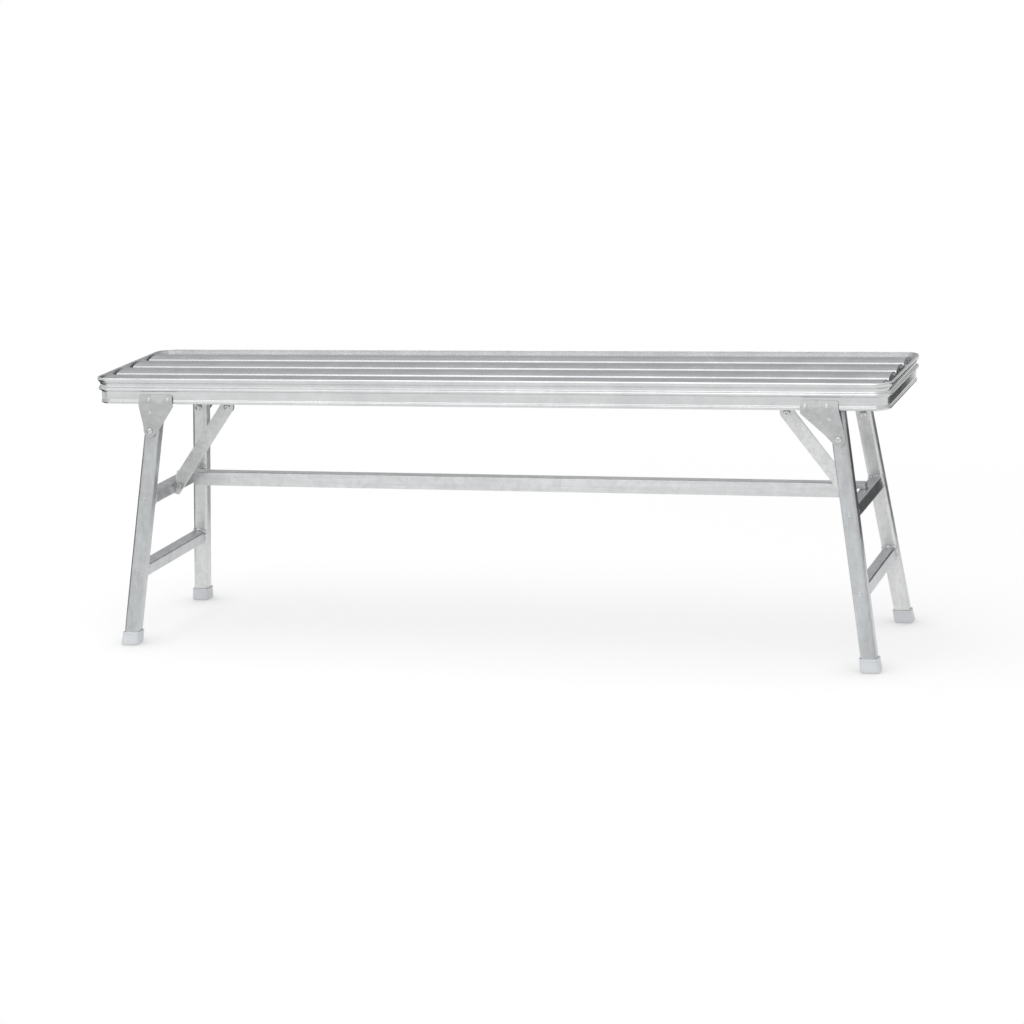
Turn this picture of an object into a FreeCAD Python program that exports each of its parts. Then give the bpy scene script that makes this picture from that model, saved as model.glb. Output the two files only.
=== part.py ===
import FreeCAD, Part
import math
import os

# Folding bench in galvanised steel. Millimetres, Z up, the front is towards -Y.
# The origin is on the floor under the middle of the seat.
# Pieces are drawn at +X and mirrored, because both ends of the bench are alike.

# Overall sizes
seat_length = 1300.0
seat_width = 270.0
seat_height = 440.0

# Band round the seat, a rolled strip with a bead along its middle
band_height = 42.0
band_corner_radius = 28.0
band_sheet = 1.5
band_lip_radius = 2.5
band_foot_radius = 2.2
band_neck_depth = 5.5
band_neck_drop = 8.5
band_bead_depth = 0.8
band_bead_drop = 18.0
band_flat_depth = 6.2
band_flat_drop = 27.0
band_foot_depth = 3.0
band_facet_angle = 26.0

# Slats, arched strips that run the length of the seat
slat_count = 4
slat_gap = 7.0
slat_band_inset = 12.5
slat_height = 13.0
slat_crown = 2.6
slat_shoulder_radius = 6.0
slat_sheet = 1.5
slat_end_gap = 9.0

# Cross ribs under the slats, channels that are open downwards
rib_width = 28.0
rib_height = 18.0
rib_sheet = 1.5
rib_band_gap = 0.2
end_rib_inset = 40.0

# Leg pivot, measured from the end of the seat and from the band's lower edge
pivot_inset = 85.0
pivot_drop = 48.0

# Gusset plate, a joggled plate that hangs from the band and carries a leg pivot
gusset_thickness = 2.0
gusset_width = 58.0
gusset_above_band_edge = 15.5
gusset_side_depth = 20.0
gusset_eye_radius = 12.5
gusset_band_gap = 0.05
gusset_corner_radius = 4.0
gusset_outer_overhang = 5.0
gusset_joggle = 21.5
gusset_joggle_top = 0.5
gusset_joggle_height = 24.0

# Leg pivot rivet
rivet_radius = 4.0
rivet_head_radius = 7.0
rivet_head_flat = 4.2
rivet_head_height = 3.0
rivet_clearance = 0.05
rivet_head_gap = 1.3
leg_gusset_gap = 4.5

# Leg, a rounded box tube that leans out along X and flares out along Y
leg_lean = 7.73
leg_flare = 7.8
leg_width = 25.0
leg_depth = 22.0
leg_corner_radius = 5.0
leg_wall = 1.5
leg_above_pivot = 42.0

# Foot cap, a moulded cup over the end of a leg
cap_height = 26.0
cap_floor = 6.0
cap_wall = 2.6
cap_taper = 0.8
cap_corner_radius = 6.0
cap_fit = 0.1

# Crossbars welded between the two legs of a frame, measured down the leg from its pivot
bar_width = 20.0
bar_height = 21.0
bar_corner_radius = 3.0
bar_wall = 1.5
upper_bar_distance = 114.5
lower_bar_distance = 233.5

# Stay, a flat bar from a hanger under the seat to the upper crossbar
stay_pivot_inset = 183.0
stay_pivot_drop = 26.0
stay_foot_angle = 36.9
stay_width = 22.0
stay_thickness = 3.0
stay_front = -21.5
stay_bar_gap = 0.3
stay_foot_cut = 11.0
stay_reach = 190.0
stay_rivet_radius = 3.0
stay_head_radius = 6.0
stay_head_flat = 3.6
stay_head_height = 2.4
stay_side_gap = 0.3

# Hanger plate that carries the stay's upper rivet
hanger_thickness = 3.0
hanger_width = 22.0

# Keeper ear, welded on edge to the upper crossbar in front of the stay's foot
keeper_thickness = 2.5
keeper_length = 15.0
keeper_height = 20.0
keeper_down = 3.0
keeper_corner_radius = 5.0
keeper_stud_inset = 7.0

# Stretcher, a channel that is open downwards and sits on both upper crossbars
stretcher_height = 23.0
stretcher_depth = 20.0
stretcher_front = 8.0
stretcher_sheet = 2.0
stretcher_corner_radius = 2.5
stretcher_seat_length = 11.0
stretcher_seat_gap = 0.4
stretcher_seat_rise = 8.5
stretcher_cope_gap = 1.5
stretcher_cope_slant = 57.0

# Places worked out from the sizes
half_length = seat_length / 2
half_width = seat_width / 2
band_bottom = seat_height - band_height
slat_bottom = seat_height - slat_height
slat_width = (seat_width - 2 * slat_band_inset - (slat_count - 1) * slat_gap) / slat_count
slat_pitch = slat_width + slat_gap
rib_bottom = slat_bottom - rib_height
pivot_x = half_length - pivot_inset
pivot_z = band_bottom - pivot_drop
gusset_inner = half_width - band_foot_depth + gusset_band_gap
gusset_outer = gusset_inner + gusset_thickness
eye_inner = gusset_inner - gusset_joggle
eye_outer = eye_inner + gusset_thickness
leg_y = eye_inner - leg_gusset_gap - leg_depth / 2
stay_pivot_x = half_length - stay_pivot_inset
stay_pivot_z = band_bottom - stay_pivot_drop
stay_back = stay_front + stay_thickness
hanger_front = stay_back + stay_side_gap
keeper_back = stay_front - stay_side_gap

LARGE = 4 * seat_length
X_AXIS = FreeCAD.Vector(1, 0, 0)
Y_AXIS = FreeCAD.Vector(0, 1, 0)
Z_AXIS = FreeCAD.Vector(0, 0, 1)
ORIGIN = FreeCAD.Vector(0, 0, 0)
PIVOT = FreeCAD.Vector(pivot_x, 0, pivot_z)
os.makedirs("parts", exist_ok=True)


def point(x, y, z):
    return FreeCAD.Vector(x, y, z)


def save(shape, name):
    """Writes one piece, after a check that it is one sound solid."""
    solids = shape.Solids
    if len(solids) != 1 or not solids[0].isValid():
        print("check", name, len(solids), "solids, valid", shape.isValid())
    solids[0].exportStep("parts/" + name + ".step")


def box(x0, x1, y0, y1, z0, z1):
    return Part.makeBox(x1 - x0, y1 - y0, z1 - z0, point(x0, y0, z0))


def rounded_rectangle(width, depth, radius, z):
    """A horizontal face, centred on the Z axis."""
    a = width / 2
    b = depth / 2
    c = radius * (1 - math.sqrt(0.5))
    edges = []
    corners = ((a, b, 1, 1), (-a, b, -1, 1), (-a, -b, -1, -1), (a, -b, 1, -1))
    for index, (x, y, sx, sy) in enumerate(corners):
        on_side = point(x, y - sy * radius, z)
        on_end = point(x - sx * radius, y, z)
        middle = point(x - sx * c, y - sy * c, z)
        first, last = (on_side, on_end) if index % 2 == 0 else (on_end, on_side)
        if edges:
            edges.append(Part.LineSegment(edges[-1].EndPoint, first))
        edges.append(Part.Arc(first, middle, last))
    edges.append(Part.LineSegment(edges[-1].EndPoint, edges[0].StartPoint))
    return Part.Face(Part.Wire([edge.toShape() for edge in edges]))


def tube(width, depth, radius, wall, z0, z1):
    """A vertical box tube with rounded corners, open at both ends."""
    outside = rounded_rectangle(width, depth, radius, z0)
    inside = rounded_rectangle(width - 2 * wall, depth - 2 * wall, radius - wall, z0)
    height = point(0, 0, z1 - z0)
    return outside.extrude(height).cut(inside.extrude(height))


def head(radius, flat, height, base, direction):
    """A low rivet head that narrows to a flat."""
    return Part.makeCone(radius, flat, height, base, direction)


def both_ends(shape, name):
    """Saves a piece drawn at +X and its mirror image at -X."""
    save(shape, "right_" + name)
    save(shape.mirror(ORIGIN, X_AXIS), "left_" + name)


def four_corners(shape, name):
    """Saves a piece drawn at +X and +Y and its three mirror images."""
    both_ends(shape, "rear_" + name)
    both_ends(shape.mirror(ORIGIN, Y_AXIS), "front_" + name)


def lean(shape):
    """Leans an upright piece of the frame out to its standing angle."""
    turned = shape.copy()
    turned.rotate(PIVOT, Y_AXIS, -leg_lean)
    return turned


def flare(shape):
    """Turns an upright rear leg's piece about its pivot, so that its foot moves to +Y."""
    turned = shape.copy()
    turned.rotate(point(pivot_x, leg_y, pivot_z), X_AXIS, leg_flare)
    return turned


def arc_points(centre, radius, start, finish):
    """Points along an arc in the XZ plane, evenly spaced and no further apart than the facet angle."""
    steps = math.ceil(abs(finish - start) / band_facet_angle)
    angles = [math.radians(start + (finish - start) * step / steps) for step in range(steps + 1)]
    return [(centre[0] + radius * math.cos(angle), centre[1] + radius * math.sin(angle)) for angle in angles]


def wave(upper, lower, shift):
    """Two equal arcs from one upright place of the strip down to the next, moved inwards by shift."""
    sideways = lower[0] - upper[0]
    drop = upper[1] - lower[1]
    side = math.copysign(1, sideways)
    turn = 2 * math.degrees(math.atan(abs(sideways) / drop))
    radius = drop / (2 * math.sin(math.radians(turn)))
    first = (upper[0] + side * radius, upper[1])
    second = (lower[0] - side * radius, lower[1])
    if side > 0:
        high = arc_points(first, radius + shift, 180, 180 + turn)
        low = arc_points(second, radius - shift, turn, 0)
    else:
        high = arc_points(first, radius - shift, 0, -turn)
        low = arc_points(second, radius + shift, 180 - turn, 180)
    return high + low[1:]


def band_profile():
    """The strip's section, in the XZ plane, with its outer side at x = 0 and its inside towards -X."""
    lip_z = seat_height - band_lip_radius
    foot_z = band_bottom + band_foot_radius
    lip = (0.0, lip_z)
    neck = (-band_neck_depth, seat_height - band_neck_drop)
    bead = (-band_bead_depth, seat_height - band_bead_drop)
    flat = (-band_flat_depth, seat_height - band_flat_drop)
    foot = (-band_foot_depth, foot_z)
    outer = wave(lip, neck, 0) + wave(neck, bead, 0)[1:] + wave(bead, flat, 0)[1:]
    inner = wave(neck, bead, band_sheet) + wave(bead, flat, band_sheet)[1:]
    roll = arc_points((-band_lip_radius, lip_z), band_lip_radius, 180, 0)
    hem = arc_points((foot[0] - band_foot_radius, foot_z), band_foot_radius, 0, -180)
    hem_top = (flat[0] - band_sheet + band_foot_radius, foot_z + 2 * band_foot_radius)
    outline = roll + outer[1:] + hem + [hem_top] + inner[::-1]
    points = [point(x, 0, z) for x, z in outline]
    return Part.makePolygon(points + points[:1])


def make_band():
    """Runs the section round the seat: straight sides and four revolved corners."""
    profile = Part.Face(band_profile())
    side_run = seat_length - 2 * band_corner_radius
    end_run = seat_width - 2 * band_corner_radius
    corner_x = half_length - band_corner_radius
    corner_y = half_width - band_corner_radius
    pieces = []
    end = profile.copy()
    end.translate(point(half_length, -end_run / 2, 0))
    end = end.extrude(point(0, end_run, 0))
    side = profile.copy()
    side.rotate(ORIGIN, Z_AXIS, 90)
    side.translate(point(-side_run / 2, half_width, 0))
    side = side.extrude(point(side_run, 0, 0))
    corner = profile.copy()
    corner.translate(point(half_length, corner_y, 0))
    corner = corner.revolve(point(corner_x, corner_y, 0), Z_AXIS, 90)
    pieces.extend((end, end.mirror(ORIGIN, X_AXIS)))
    pieces.extend((side, side.mirror(ORIGIN, Y_AXIS)))
    rear_corners = (corner, corner.mirror(ORIGIN, X_AXIS))
    pieces.extend(rear_corners)
    pieces.extend(piece.mirror(ORIGIN, Y_AXIS) for piece in rear_corners)
    return pieces[0].multiFuse(pieces[1:]).removeSplitter()


def arch_face(width, top, shoulder):
    """A closed arch section in the YZ plane: upright sides, round shoulders and a crowned top."""
    a = width / 2
    shoulder_top = top - slat_crown
    c = shoulder * (1 - math.sqrt(0.5))
    feet = (point(0, -a, slat_bottom), point(0, a, slat_bottom))
    side_ends = (point(0, -a, shoulder_top - shoulder), point(0, a, shoulder_top - shoulder))
    crown_ends = (point(0, shoulder - a, shoulder_top), point(0, a - shoulder, shoulder_top))
    middles = (point(0, c - a, shoulder_top - c), point(0, a - c, shoulder_top - c))
    edges = (
        Part.LineSegment(feet[0], side_ends[0]),
        Part.Arc(side_ends[0], middles[0], crown_ends[0]),
        Part.Arc(crown_ends[0], point(0, 0, top), crown_ends[1]),
        Part.Arc(crown_ends[1], middles[1], side_ends[1]),
        Part.LineSegment(side_ends[1], feet[1]),
        Part.LineSegment(feet[1], feet[0]),
    )
    return Part.Face(Part.Wire([edge.toShape() for edge in edges]))


def make_slat():
    """One arched slat, centred on y = 0, with open ends."""
    half = half_length - 2 * band_lip_radius - slat_end_gap
    outside = arch_face(slat_width, seat_height, slat_shoulder_radius)
    inside = arch_face(slat_width - 2 * slat_sheet, seat_height - slat_sheet,
                       slat_shoulder_radius - slat_sheet)
    run = point(2 * half, 0, 0)
    slat = outside.extrude(run).cut(inside.extrude(run))
    slat.translate(point(-half, 0, 0))
    return slat


def make_rib(x):
    """One cross rib between the front and rear sides of the band."""
    reach = half_width - band_flat_depth - band_sheet - rib_band_gap
    a = rib_width / 2
    outside = box(x - a, x + a, -reach, reach, rib_bottom, slat_bottom)
    inside = box(x - a + rib_sheet, x + a - rib_sheet, -reach, reach, rib_bottom, slat_bottom - rib_sheet)
    return outside.cut(inside)


def tangent_point(x, z, side):
    """Where a line from a corner of the gusset touches its eye, on the chosen side."""
    dx = pivot_x - x
    dz = pivot_z - z
    distance = math.hypot(dx, dz)
    turn = math.atan2(dz, dx) + side * math.asin(gusset_eye_radius / distance)
    reach = math.sqrt(distance ** 2 - gusset_eye_radius ** 2)
    return (x + reach * math.cos(turn), z + reach * math.sin(turn))


def gusset_sheet():
    """The rear gusset's bent sheet before it is cut to outline: upright, sloping in, upright again."""
    slope = math.atan(gusset_joggle / gusset_joggle_height)
    mitre = gusset_thickness * math.tan(slope / 2)
    top = band_bottom + gusset_above_band_edge
    high = band_bottom - gusset_joggle_top
    low = high - gusset_joggle_height
    bottom = pivot_z - 2 * gusset_eye_radius
    section = (
        (gusset_outer, top),
        (gusset_outer, high),
        (eye_outer, low),
        (eye_outer, bottom),
        (eye_inner, bottom),
        (eye_inner, low - mitre),
        (gusset_inner, high - mitre),
        (gusset_inner, top),
    )
    points = [point(0, y, z) for y, z in section]
    return Part.Face(Part.makePolygon(points + points[:1])).extrude(point(half_length, 0, 0))


def make_gusset():
    """The rear right gusset: a joggled plate that narrows to a round eye at the leg pivot."""
    top = band_bottom + gusset_above_band_edge
    outer_x = pivot_x + gusset_outer_overhang
    inner_x = outer_x - gusset_width
    side_z = top - gusset_side_depth
    corners = (
        (inner_x, top),
        (outer_x, top),
        tangent_point(outer_x, top, 1),
        (pivot_x, pivot_z),
        tangent_point(inner_x, side_z, -1),
        (inner_x, side_z),
    )
    points = [point(x, 0, z) for x, z in corners]
    outline = Part.Face(Part.makePolygon(points + points[:1])).extrude(point(0, half_width, 0))
    outline = outline.makeFillet(gusset_corner_radius, upright_edges(outline, (inner_x, outer_x), top))
    eye = Part.makeCylinder(gusset_eye_radius, half_width, point(pivot_x, 0, pivot_z), Y_AXIS)
    plate = gusset_sheet().common(outline.fuse(eye).removeSplitter())
    return plate.cut(pivot_hole(eye_inner, eye_outer))


def upright_edges(plate, places, z):
    """The plate's edges across its thickness, at given places along X and one height."""
    found = []
    for edge in plate.Edges:
        first, last = (vertex.Point for vertex in (edge.Vertexes[0], edge.Vertexes[-1]))
        across = abs(first.x - last.x) < 1e-6 and abs(first.z - last.z) < 1e-6
        if across and abs(first.z - z) < 1e-6 and min(abs(first.x - x) for x in places) < 1e-6:
            found.append(edge)
    return found


def pivot_hole(y0, y1):
    """The clearance hole for the leg rivet, from one place to another along Y."""
    return Part.makeCylinder(rivet_radius + rivet_clearance, y1 - y0, point(pivot_x, y0, pivot_z), Y_AXIS)


def make_leg_rivet():
    """The rear right leg rivet: outer head, spacer collar, shank and inner head."""
    leg_outer = leg_y + leg_depth / 2
    leg_inner = leg_y - leg_depth / 2
    inner_head = leg_inner - rivet_head_gap
    collar = leg_outer + rivet_head_gap
    shank = Part.makeCylinder(rivet_radius, eye_outer - inner_head, point(pivot_x, inner_head, pivot_z), Y_AXIS)
    spacer = Part.makeCylinder(rivet_head_radius, eye_inner - collar, point(pivot_x, collar, pivot_z), Y_AXIS)
    outer_base = point(pivot_x, eye_outer, pivot_z)
    inner_base = point(pivot_x, inner_head, pivot_z)
    outer = head(rivet_head_radius, rivet_head_flat, rivet_head_height, outer_base, Y_AXIS)
    inner = head(rivet_head_radius, rivet_head_flat, rivet_head_height, inner_base, Y_AXIS * -1)
    return shank.multiFuse([spacer, outer, inner])


def leg_end():
    """How far down the leg from its pivot the tube ends, inside the foot cap."""
    to_floor = pivot_z / (math.cos(math.radians(leg_lean)) * math.cos(math.radians(leg_flare)))
    return to_floor - cap_floor


def make_leg():
    """The rear right leg, with the rivet's hole through both walls."""
    leg = tube(leg_width, leg_depth, leg_corner_radius, leg_wall, pivot_z - leg_end(), pivot_z + leg_above_pivot)
    leg.translate(point(pivot_x, leg_y, 0))
    leg = lean(flare(leg))
    return leg.cut(pivot_hole(0, half_width + leg_depth))


def tapered_block(low_width, low_depth, top_width, top_depth, low_z, top_z):
    """A block round the Z axis with four sloping sides."""
    block = Part.makeWedge(
        -low_width / 2, low_z, -low_depth / 2, -top_depth / 2, -top_width / 2,
        low_width / 2, top_z, low_depth / 2, top_depth / 2, top_width / 2,
    )
    block.rotate(ORIGIN, X_AXIS, 90)
    return block


def tapered_plug(width, depth, radius, taper, low_z, top_z):
    """A plug with round corners whose sides step out by taper towards its lower end."""
    straight_x = width / 2 - radius
    straight_y = depth / 2 - radius
    low_width = width + 2 * taper
    low_depth = depth + 2 * taper
    along = tapered_block(low_width, 2 * straight_y, width, 2 * straight_y, low_z, top_z)
    across = tapered_block(2 * straight_x, low_depth, 2 * straight_x, depth, low_z, top_z)
    corners = []
    for x in (-straight_x, straight_x):
        for y in (-straight_y, straight_y):
            corners.append(Part.makeCone(radius + taper, radius, top_z - low_z, point(x, y, low_z), Z_AXIS))
    return along.multiFuse([across] + corners).removeSplitter()


def make_cap():
    """The rear right foot cap: a cup with a slight taper, cut level at the floor."""
    floor_z = pivot_z - leg_end() - cap_floor
    top_z = floor_z + cap_height
    low_z = floor_z - cap_floor
    width = leg_width + 2 * cap_wall
    depth = leg_depth + 2 * cap_wall
    cup = tapered_plug(width, depth, cap_corner_radius, cap_taper, low_z, top_z)
    seat = rounded_rectangle(leg_width + 2 * cap_fit, leg_depth + 2 * cap_fit,
                             leg_corner_radius + cap_fit, pivot_z - leg_end())
    cup = cup.cut(seat.extrude(point(0, 0, cap_height)))
    cup.translate(point(pivot_x, leg_y, 0))
    cup = lean(flare(cup))
    return cup.cut(box(-LARGE, LARGE, -LARGE, LARGE, -LARGE, 0))


def make_crossbar(distance):
    """A crossbar at the right end, cut to the inner faces of both flared legs."""
    bar = tube(bar_width, bar_height, bar_corner_radius, bar_wall, -half_width, half_width)
    bar.rotate(ORIGIN, X_AXIS, 90)
    bar.translate(point(pivot_x, 0, pivot_z - distance))
    beyond = box(pivot_x - leg_width, pivot_x + leg_width, leg_y - leg_depth / 2, LARGE, -LARGE, LARGE)
    beyond = flare(beyond)
    bar = bar.cut(beyond).cut(beyond.mirror(ORIGIN, Y_AXIS))
    return lean(bar)


def make_keeper():
    """The ear on the right upper crossbar, with its stud head in front."""
    face_x = pivot_x - bar_width / 2
    middle_z = pivot_z - upper_bar_distance - keeper_down
    z0 = middle_z - keeper_height / 2
    z1 = middle_z + keeper_height / 2
    ear = box(face_x - keeper_length, face_x, keeper_back - keeper_thickness, keeper_back, z0, z1)
    rounded = upright_edges(ear, (face_x - keeper_length,), z0) + upright_edges(ear, (face_x - keeper_length,), z1)
    ear = ear.makeFillet(keeper_corner_radius, rounded)
    stud_base = point(face_x - keeper_stud_inset, keeper_back - keeper_thickness, middle_z)
    stud = head(stay_head_radius, stay_head_flat, stay_head_height, stud_base, Y_AXIS * -1)
    return lean(ear.fuse(stud))


def make_stay():
    """The right stay, cut square to the crossbar's face at its foot."""
    a = stay_width / 2
    bar = box(-a, a, stay_front, stay_back, -stay_reach, 0)
    eye = Part.makeCylinder(a, stay_thickness, point(0, stay_front, 0), Y_AXIS)
    bar = bar.fuse(eye).removeSplitter()
    bar.rotate(ORIGIN, Y_AXIS, -stay_foot_angle)
    bar.translate(point(stay_pivot_x, 0, stay_pivot_z))
    face_x = pivot_x - bar_width / 2 - stay_bar_gap
    foot_z = pivot_z - upper_bar_distance - stay_foot_cut
    past_bar = lean(box(face_x, LARGE, -LARGE, LARGE, -LARGE, LARGE))
    below_bar = lean(box(-LARGE, LARGE, -LARGE, LARGE, -LARGE, foot_z))
    bar = bar.cut(past_bar).cut(below_bar)
    return bar.cut(stay_hole(stay_front, stay_back, rivet_clearance))


def stay_hole(y0, y1, clearance):
    """A cylinder on the stay's upper pivot, from one place to another along Y."""
    base = point(stay_pivot_x, y0, stay_pivot_z)
    return Part.makeCylinder(stay_rivet_radius + clearance, y1 - y0, base, Y_AXIS)


def make_hanger():
    """The right hanger: a strip from inside the rib down to a round eye behind the stay."""
    a = hanger_width / 2
    back = hanger_front + hanger_thickness
    strip = box(stay_pivot_x - a, stay_pivot_x + a, hanger_front, back, stay_pivot_z, slat_bottom - rib_sheet)
    eye = Part.makeCylinder(a, hanger_thickness, point(stay_pivot_x, hanger_front, stay_pivot_z), Y_AXIS)
    strip = strip.fuse(eye).removeSplitter()
    return strip.cut(stay_hole(hanger_front, back, rivet_clearance))


def make_stay_rivet():
    """The rivet that joins the right stay to its hanger."""
    front = stay_front - stay_side_gap
    back = hanger_front + hanger_thickness
    shank = stay_hole(front, back, 0)
    front_base = point(stay_pivot_x, front, stay_pivot_z)
    back_base = point(stay_pivot_x, back, stay_pivot_z)
    front_head = head(stay_head_radius, stay_head_flat, stay_head_height, front_base, Y_AXIS * -1)
    back_head = head(stay_head_radius, stay_head_flat, stay_head_height, back_base, Y_AXIS)
    return shank.multiFuse([front_head, back_head])


def bar_corner(side_x, side_z):
    """A corner of the right upper crossbar's section, in the standing pose."""
    corner = Part.Vertex(pivot_x + side_x * bar_width / 2, 0,
                         pivot_z - upper_bar_distance + side_z * bar_height / 2)
    return lean(corner).Point


def make_stretcher():
    """The long channel, coped at both ends so that its upper half rests on the crossbars."""
    inner_corner = bar_corner(-1, 1)
    outer_corner = bar_corner(1, 1)
    reach = inner_corner.x + stretcher_seat_length
    rise = (outer_corner.z - inner_corner.z) / (outer_corner.x - inner_corner.x)
    rest_z = inner_corner.z + stretcher_seat_length * rise + stretcher_seat_gap
    back = stretcher_front + stretcher_depth
    low_z = rest_z - stretcher_height + stretcher_seat_rise
    top_z = low_z + stretcher_height
    body = box(-reach, reach, stretcher_front, back, low_z, top_z)
    long_edges = [edge for edge in body.Edges
                  if edge.Length > 2 * reach - 1 and edge.CenterOfMass.z > top_z - 1e-6]
    body = body.makeFillet(stretcher_corner_radius, long_edges)
    hollow = box(-reach, reach, stretcher_front + stretcher_sheet, back - stretcher_sheet,
                 low_z, top_z - stretcher_sheet)
    body = body.cut(hollow)
    cope_x = inner_corner.x - stretcher_cope_gap
    slant = math.tan(math.radians(stretcher_cope_slant))
    depth = rest_z - low_z
    outline = (
        point(LARGE, 0, rest_z),
        point(cope_x, 0, rest_z),
        point(cope_x - depth * slant, 0, low_z),
        point(LARGE, 0, low_z),
    )
    cope = Part.Face(Part.makePolygon(outline + outline[:1])).extrude(point(0, 2 * back, 0))
    return body.cut(cope).cut(cope.mirror(ORIGIN, X_AXIS))


save(make_band(), "seat_band")
slat = make_slat()
for number in range(slat_count):
    placed = slat.copy()
    placed.translate(point(0, (number - (slat_count - 1) / 2) * slat_pitch, 0))
    save(placed, "slat_" + str(number + 1))

both_ends(make_rib(half_length - end_rib_inset), "end_rib")
both_ends(make_rib(stay_pivot_x), "hanger_rib")
save(make_rib(0), "middle_rib")
both_ends(make_hanger(), "hanger")
both_ends(make_stay_rivet(), "stay_rivet")
four_corners(make_gusset(), "gusset")
four_corners(make_leg_rivet(), "leg_rivet")

four_corners(make_leg(), "leg")
four_corners(make_cap(), "foot_cap")
both_ends(make_crossbar(upper_bar_distance), "upper_crossbar")
both_ends(make_crossbar(lower_bar_distance), "lower_crossbar")
both_ends(make_keeper(), "keeper")

both_ends(make_stay(), "stay")
save(make_stretcher(), "stretcher")
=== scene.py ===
import math

import bpy
import bmesh
from mathutils import Matrix, Vector


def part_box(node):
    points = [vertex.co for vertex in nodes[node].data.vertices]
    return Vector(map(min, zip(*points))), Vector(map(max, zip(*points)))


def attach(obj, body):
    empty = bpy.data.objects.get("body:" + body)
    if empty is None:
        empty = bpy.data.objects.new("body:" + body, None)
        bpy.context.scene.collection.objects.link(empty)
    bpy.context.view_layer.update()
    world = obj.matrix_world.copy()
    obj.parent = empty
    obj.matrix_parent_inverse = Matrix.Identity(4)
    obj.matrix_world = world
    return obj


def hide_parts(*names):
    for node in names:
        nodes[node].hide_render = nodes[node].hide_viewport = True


# Looks for the folding bench: galvanised steel finishes, rivets, welds and the studio.
# Everything is in metres, in the CAD frame: Z up, the front of the bench towards -Y.

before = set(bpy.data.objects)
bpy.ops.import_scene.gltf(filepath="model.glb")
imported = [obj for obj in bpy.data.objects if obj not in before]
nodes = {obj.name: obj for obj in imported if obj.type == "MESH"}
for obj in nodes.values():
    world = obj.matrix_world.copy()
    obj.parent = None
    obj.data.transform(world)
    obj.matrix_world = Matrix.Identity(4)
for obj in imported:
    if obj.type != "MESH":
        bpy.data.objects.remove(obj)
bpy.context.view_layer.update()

# Camera, solved from the photograph: angles in degrees, focus in pixels of the picture's side
CAMERA_PLACE = (1.4118, -4.2200, 1.2244)
CAMERA_YAW = 18.406
CAMERA_PITCH = 12.964
CAMERA_ROLL = -3.028
CAMERA_FOCUS = 2843.2
IMAGE_SIDE = 1024.0
SENSOR = 36.0

# Sides and rows of the leg frames, with their signs along X and Y
SIDES = (("left", -1), ("right", 1))
ROWS = (("front", -1), ("rear", 1))
LEGS = [(side, side + "_" + row, sx, sy) for side, sx in SIDES for row, sy in ROWS]
QUARTERS = ((1, 1), (-1, 1), (-1, -1), (1, -1))

# Seat band section: the CAD strip's, with the flatter lip and the narrower bead of the photograph.
# The neck, bead and flat are each (how deep behind the outside, how far below the top).
BAND_SHEET = 0.0015
BAND_LIP_RADIUS = 0.0025
BAND_LIP_WIDTH = 0.0034
BAND_LIP_EDGE = 0.0008
BAND_LIP_SIDE = 0.0010
BAND_FOOT_RADIUS = 0.0030
BAND_NECK = (0.0044, 0.0126)
BAND_BEAD = (0.0008, 0.0186)
BAND_FLAT = (0.0054, 0.0235)
BAND_FOOT_DEPTH = 0.0040
BAND_HEM_DROP = 0.0006
BAND_HEM_ROLL = 0.0055
BAND_CORNER_RADIUS = 0.028
BAND_CORNER_STEPS = 14
BAND_ARC_STEP = 7.0

# Slats: the CAD slats' arch, a little lower, with the left ends carried on to the lip as in the photograph
SLAT_COUNT = 4
SLAT_SHEET = 0.0015
SLAT_CROWN = 0.0026
SLAT_TOP_DROP = 0.0028
SLAT_SHOULDER_RADIUS = 0.0060
SLAT_SHOULDER_STEPS = 8
SLAT_LEFT_END = 0.6425
SLAT_RIGHT_END = 0.6330
SLAT_CORNER_REACH = 0.0209

# Leg frames, with angles in degrees
PIVOT_X = 0.565
PIVOT_Z = 0.350
LEG_Y = 0.09505
LEG_DEPTH = 0.022
LEG_LEAN = 7.73
LEG_FLARE = 7.8
BAR_WIDTH = 0.020
BAR_HEIGHT = 0.021
BAR_CORNER_RADIUS = 0.003
BAR_DISTANCES = (0.1145, 0.2335)

# Foot caps: cups with a rim and a rounded foot, level all round as the photograph has them
FOOT_X = 0.612573
FOOT_Y = 0.143491
CAP_HALF_X = 0.0152
CAP_HALF_Y = 0.0137
CAP_CORNER_RADIUS = 0.006
CAP_FLOOR = 0.0055
# (height, how far the wall stands out from the plain cup)
CAP_OUTSIDE = ((0.0, -0.0026), (0.0003, -0.0014), (0.0011, -0.0004), (0.0024, 0.0002), (0.0045, 0.0003),
               (0.0120, -0.0003), (0.0178, -0.0007), (0.0182, -0.0003), (0.0190, 0.0), (0.0202, 0.0),
               (0.0209, -0.0004), (0.0212, -0.0010), (0.0212, -0.0023))

# Gussets and their fixings. The line is the outer face as (height, distance from the bench's middle),
# and the rows are the heights where the plate may bend, beside its outline's own.
GUSSET_THICKNESS = 0.002
GUSSET_EYE_RADIUS = 0.0108
GUSSET_EYE_STEPS = 24
GUSSET_CORNER_RADIUS = 0.005
GUSSET_TOP = 0.4135
GUSSET_SIDE = 0.3935
GUSSET_INNER_X = 0.512
GUSSET_OUTER_X = 0.570
GUSSET_LINE = ((0.4135, 0.1310), (0.4000, 0.13405), (0.3972, 0.13380), (0.3900, 0.13040), (0.3580, 0.11360),
               (0.3540, 0.11275), (0.3500, 0.11255), (0.3370, 0.11255))
GUSSET_ROWS = {0.405, 0.400, 0.3972, 0.394, 0.390, 0.38, 0.37, 0.362, 0.358, 0.356, 0.354, 0.352, 0.350, 0.345}
GUSSET_COLUMNS = 8
GUSSET_EDGE = 0.0004
GUSSET_EDGE_ANGLE = 50
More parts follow.
